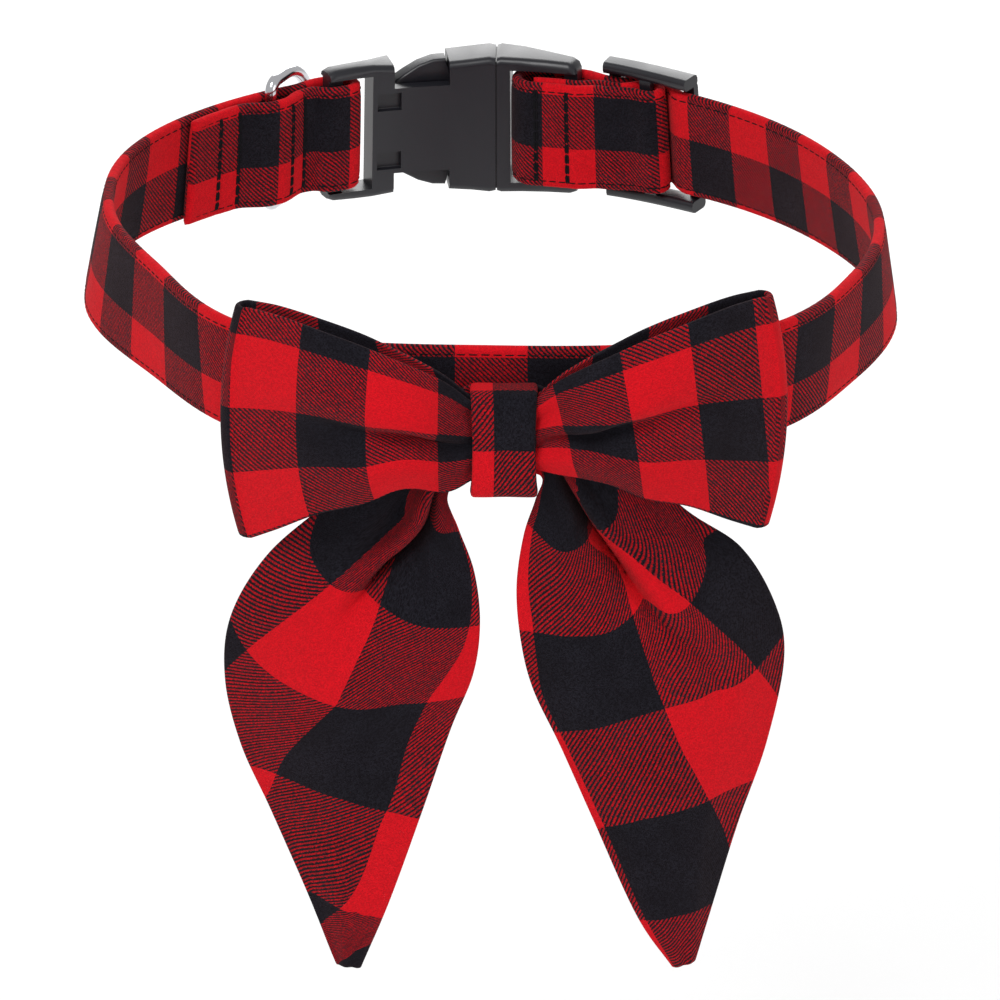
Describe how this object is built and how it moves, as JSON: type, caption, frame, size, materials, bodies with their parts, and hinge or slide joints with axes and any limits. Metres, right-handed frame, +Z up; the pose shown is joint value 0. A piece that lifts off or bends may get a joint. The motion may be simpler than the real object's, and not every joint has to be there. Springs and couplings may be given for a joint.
{
  "type": "pet bow tie collar",
  "caption": "Padded cloth pet collar held as on a neck, with a side-release buckle, a slider, a lead ring and a sailor bow with pointed tails.",
  "frame": {"origin": "middle of the neck loop, at half the height of the strap", "axes": "+Z up the neck towards the head, -Y to the front where the bow is, +X to the right as seen from the front"},
  "size_m": [0.1767, 0.2011, 0.1513],
  "materials": {
    "strap_cloth": "brushed twill in red and black checks",
    "bow_cloth": "brushed twill in red and black checks",
    "black_plastic": "satin moulded acetal",
    "ring_metal": "polished plating"
  },
  "bodies": {
    "collar": {"collar_strap": "strap_cloth", "buckle_socket": "black_plastic", "buckle_plug": "black_plastic", "slider": "black_plastic", "bow_loops": "bow_cloth", "knot_band": "bow_cloth", "tail_left": "bow_cloth", "tail_right": "bow_cloth"},
    "ring": {"d_ring": "ring_metal"}
  },
  "joints": [
    {"name": "d_ring_swing", "type": "hinge", "parent": "collar", "child": "ring", "pos_m": [-0.04995, 0.06949, 0.00075], "axis": [0.0393, -0.0528, 0.9978], "range_deg": [0, 125]}
  ]
}
